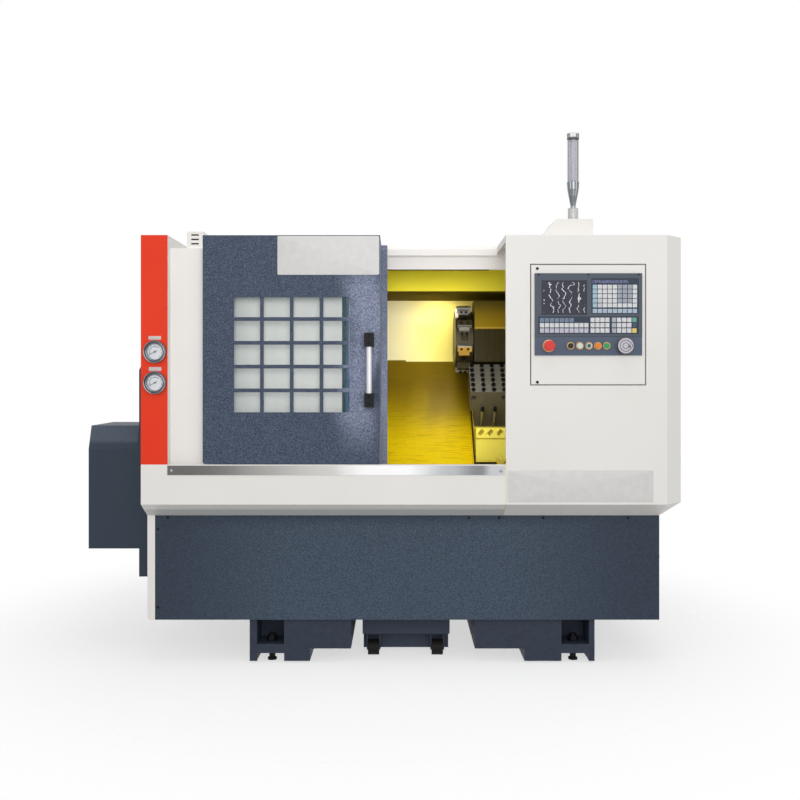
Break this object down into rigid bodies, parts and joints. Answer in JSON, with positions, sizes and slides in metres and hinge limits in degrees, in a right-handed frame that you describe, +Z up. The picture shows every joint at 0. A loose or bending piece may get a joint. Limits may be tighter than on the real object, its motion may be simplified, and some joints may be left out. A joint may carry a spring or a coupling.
{
  "type": "slant bed lathe",
  "caption": "Numerically controlled slant bed lathe with a sliding windowed door, swing-out control panel, turret and tool block on slides, and a coolant tank below.",
  "frame": {"origin": "centre of the outer box on the floor", "axes": "+X to the right seen from the operator, +Y to the back, +Z up"},
  "size_m": [2.3506, 1.384, 2.057],
  "materials": {
    "white_paint": "fine powder coat",
    "dark_paint": "textured paint",
    "door_paint": "speckled texture paint",
    "tank_paint": "satin paint",
    "cast_paint": "painted casting",
    "red_paint": "satin paint",
    "stainless": "brushed",
    "gold_sheet": "sheet with a yellow protective film of oil",
    "machined_steel": "ground",
    "slide_iron": "machined casting",
    "black_steel": "black oxide",
    "motor_black": "satin",
    "belt_rubber": "matt",
    "caster_rubber": "matt",
    "lamp_metal": "polished",
    "lamp_lens": "ribbed clear",
    "gauge_metal": "polished",
    "needle_black": "matt",
    "window_glass": "clear",
    "grip_tube": "satin",
    "black_plastic": "matt",
    "unit_plastic": "satin",
    "screen_glass": "dark",
    "key_plastic": "embossed film",
    "bezel_metal": "satin",
    "red_plastic": "gloss",
    "white_plastic": "gloss",
    "deep_green_plastic": "gloss",
    "orange_plastic": "gloss",
    "green_plastic": "gloss",
    "wheel_alloy": "turned"
  },
  "bodies": {
    "machine": {"bed_casting": "cast_paint", "levelling_screws": "black_steel", "base_shroud": "white_paint", "base_front_panel": "dark_paint", "front_apron": "white_paint", "apron_strip": "stainless", "red_column_panel": "red_paint", "left_enclosure": "white_paint", "recess_panel": "white_paint", "rear_enclosure": "white_paint", "splash_liner": "gold_sheet", "way_cover_fixed": "gold_sheet", "control_housing": "white_paint", "tower_lamp_stem": "lamp_metal", "tower_lamp_lens": "lamp_lens", "pressure_gauges": "gauge_metal", "belt_guard": "dark_paint", "motor_cover": "dark_paint", "headstock": "cast_paint", "spindle_motor": "motor_black", "drive_belt": "belt_rubber", "z_rails": "machined_steel", "z_servo": "motor_black"},
    "door": {"door_panel": "door_paint", "door_window": "window_glass", "handle_bar": "grip_tube", "handle_mounts": "black_plastic"},
    "hatch": {"panel_plate": "white_paint", "cnc_fascia": "unit_plastic", "display_screen": "screen_glass", "keypads": "key_plastic", "switch_plate": "unit_plastic", "switch_bezels": "bezel_metal"},
    "estop": {"estop_button": "red_plastic"},
    "key_black": {"black_button": "black_plastic"},
    "key_white": {"white_button": "white_plastic"},
    "key_lamp": {"lamp_button": "deep_green_plastic"},
    "key_orange": {"orange_button": "orange_plastic"},
    "key_green": {"green_button": "green_plastic"},
    "wheel": {"handwheel": "wheel_alloy"},
    "side": {"side_door": "white_paint"},
    "spindle_set": {"spindle": "machined_steel", "chuck_cylinder": "machined_steel", "chuck_body": "machined_steel"},
    "collet_set": {"collet": "machined_steel"},
    "motor_set": {"motor_pulley": "machined_steel"},
    "saddle": {"z_saddle": "slide_iron", "way_cover_moving": "gold_sheet"},
    "z_screw": {"z_ballscrew": "machined_steel"},
    "x_screw": {"x_ballscrew": "machined_steel"},
    "cross": {"x_slide": "gold_sheet", "gang_block": "machined_steel", "coolant_pipes": "machined_steel", "turret_body": "slide_iron"},
    "turret": {"turret_disc": "machined_steel"},
    "needle_upper": {"gauge_needle_upper": "needle_black"},
    "needle_lower": {"gauge_needle_lower": "needle_black"},
    "tank": {"coolant_tank": "tank_paint"},
    "wheel_left": {"caster_left": "caster_rubber"},
    "wheel_right": {"caster_right": "caster_rubber"}
  },
  "joints": [
    {"name": "door_slide", "type": "slide", "parent": "machine", "child": "door", "axis": [1, 0, 0], "range_m": [0, 0.447]},
    {"name": "hatch_hinge", "type": "hinge", "parent": "machine", "child": "hatch", "pos_m": [1.00275, -0.6465, 1.302], "axis": [0, 0, 1], "range_deg": [0, 100]},
    {"name": "estop_press", "type": "slide", "parent": "hatch", "child": "estop", "axis": [0, 1, 0], "range_m": [0, 0.006], "stiffness_N_per_m": 400},
    {"name": "press_black", "type": "slide", "parent": "hatch", "child": "key_black", "axis": [0, 1, 0], "range_m": [0, 0.003], "stiffness_N_per_m": 400},
    {"name": "press_white", "type": "slide", "parent": "hatch", "child": "key_white", "axis": [0, 1, 0], "range_m": [0, 0.003], "stiffness_N_per_m": 400},
    {"name": "press_lamp", "type": "slide", "parent": "hatch", "child": "key_lamp", "axis": [0, 1, 0], "range_m": [0, 0.003], "stiffness_N_per_m": 400},
    {"name": "press_orange", "type": "slide", "parent": "hatch", "child": "key_orange", "axis": [0, 1, 0], "range_m": [0, 0.003], "stiffness_N_per_m": 400},
    {"name": "press_green", "type": "slide", "parent": "hatch", "child": "key_green", "axis": [0, 1, 0], "range_m": [0, 0.003], "stiffness_N_per_m": 400},
    {"name": "handwheel_spin", "type": "hinge", "parent": "hatch", "child": "wheel", "pos_m": [0.93075, -0.663, 1.222], "axis": [0, 1, 0], "continuous": true},
    {"name": "side_door_hinge", "type": "hinge", "parent": "machine", "child": "side", "pos_m": [1.16975, 0.177, 1.18], "axis": [0, 0, 1], "range_deg": [0, 110]},
    {"name": "spindle_spin", "type": "hinge", "parent": "machine", "child": "spindle_set", "pos_m": [-0.48225, -0.088, 1.04], "axis": [1, 0, 0], "continuous": true},
    {"name": "collet_draw", "type": "slide", "parent": "spindle_set", "child": "collet_set", "axis": [1, 0, 0], "range_m": [-0.003, 0]},
    {"name": "motor_spin", "type": "hinge", "parent": "machine", "child": "motor_set", "pos_m": [-0.88225, -0.178, 0.65], "axis": [1, 0, 0], "continuous": true},
    {"name": "z_slide", "type": "slide", "parent": "machine", "child": "saddle", "axis": [1, 0, 0], "range_m": [-0.26, 0.04]},
    {"name": "z_screw_spin", "type": "hinge", "parent": "machine", "child": "z_screw", "pos_m": [0.46775, 0.1697, 0.81885], "axis": [1, 0, 0], "continuous": true},
    {"name": "x_slide_travel", "type": "slide", "parent": "saddle", "child": "cross", "axis": [0, 0.7071, 0.7071], "range_m": [-0.15, 0.03]},
    {"name": "x_screw_spin", "type": "hinge", "parent": "saddle", "child": "x_screw", "pos_m": [0.59275, 0.11454, 0.88814], "axis": [0, 0.7071, 0.7071], "continuous": true},
    {"name": "turret_index", "type": "hinge", "parent": "cross", "child": "turret", "pos_m": [0.37775, 0.12373, 1.27493], "axis": [1, 0, 0], "continuous": true},
    {"name": "needle_upper_turn", "type": "hinge", "parent": "machine", "child": "needle_upper", "pos_m": [-0.82825, -0.653, 1.2], "axis": [0, 1, 0], "range_deg": [-19, 251]},
    {"name": "needle_lower_turn", "type": "hinge", "parent": "machine", "child": "needle_lower", "pos_m": [-0.82825, -0.653, 1.084], "axis": [0, 1, 0], "range_deg": [-19, 251]},
    {"name": "tank_roll", "type": "slide", "parent": "machine", "child": "tank", "axis": [0, -1, 0], "range_m": [0, 0.6]},
    {"name": "caster_left_spin", "type": "hinge", "parent": "tank", "child": "wheel_left", "pos_m": [-0.01525, -0.421, 0.03], "axis": [1, 0, 0], "continuous": true},
    {"name": "caster_right_spin", "type": "hinge", "parent": "tank", "child": "wheel_right", "pos_m": [0.23775, -0.421, 0.03], "axis": [1, 0, 0], "continuous": true}
  ],
  "couplings": [
    {"joint": "motor_spin", "follows": "spindle_spin", "ratio": 1.25},
    {"joint": "z_screw_spin", "follows": "z_slide", "rad_per_m": 628.32},
    {"joint": "x_screw_spin", "follows": "x_slide_travel", "rad_per_m": 1256.6},
    {"joint": "caster_left_spin", "follows": "tank_roll", "rad_per_m": 33.333},
    {"joint": "caster_right_spin", "follows": "tank_roll", "rad_per_m": 33.333}
  ]
}
